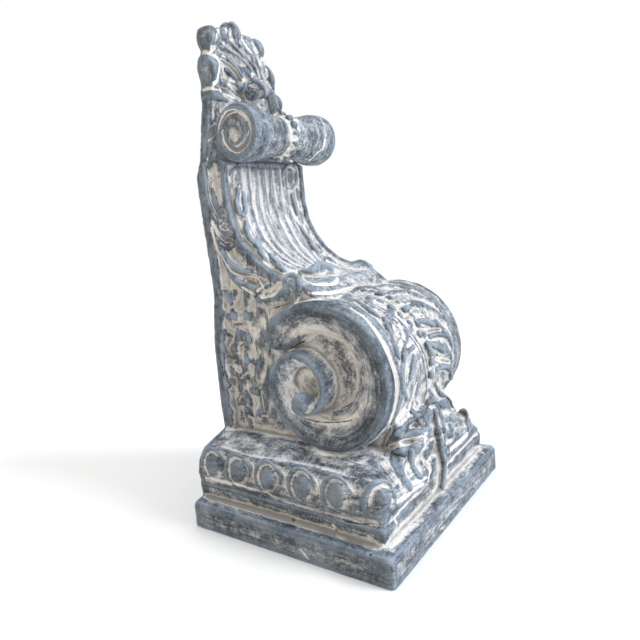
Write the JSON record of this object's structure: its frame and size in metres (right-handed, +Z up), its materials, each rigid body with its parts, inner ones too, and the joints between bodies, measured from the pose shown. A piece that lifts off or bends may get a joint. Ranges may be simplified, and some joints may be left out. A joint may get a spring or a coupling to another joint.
{
  "type": "stone corbel",
  "caption": "S-scroll carved stone corbel with a leaf-hung volute, a small upper scroll and a palm leaf, stood on its moulded slab against a flat back",
  "frame": {"origin": "middle of the flat underside of the slab, at its outer rectangle", "axes": "+Z up as it stands on its slab; the carved front faces -Y; the flat back is +Y; X runs across"},
  "size_m": [0.288, 0.244, 0.5605],
  "materials": {
    "limewashed_stone": "worn blue-grey paint over carved stone, with pale limewash left in the hollows"
  },
  "bodies": {
    "root": {"corbel": "limewashed_stone"}
  },
  "joints": []
}
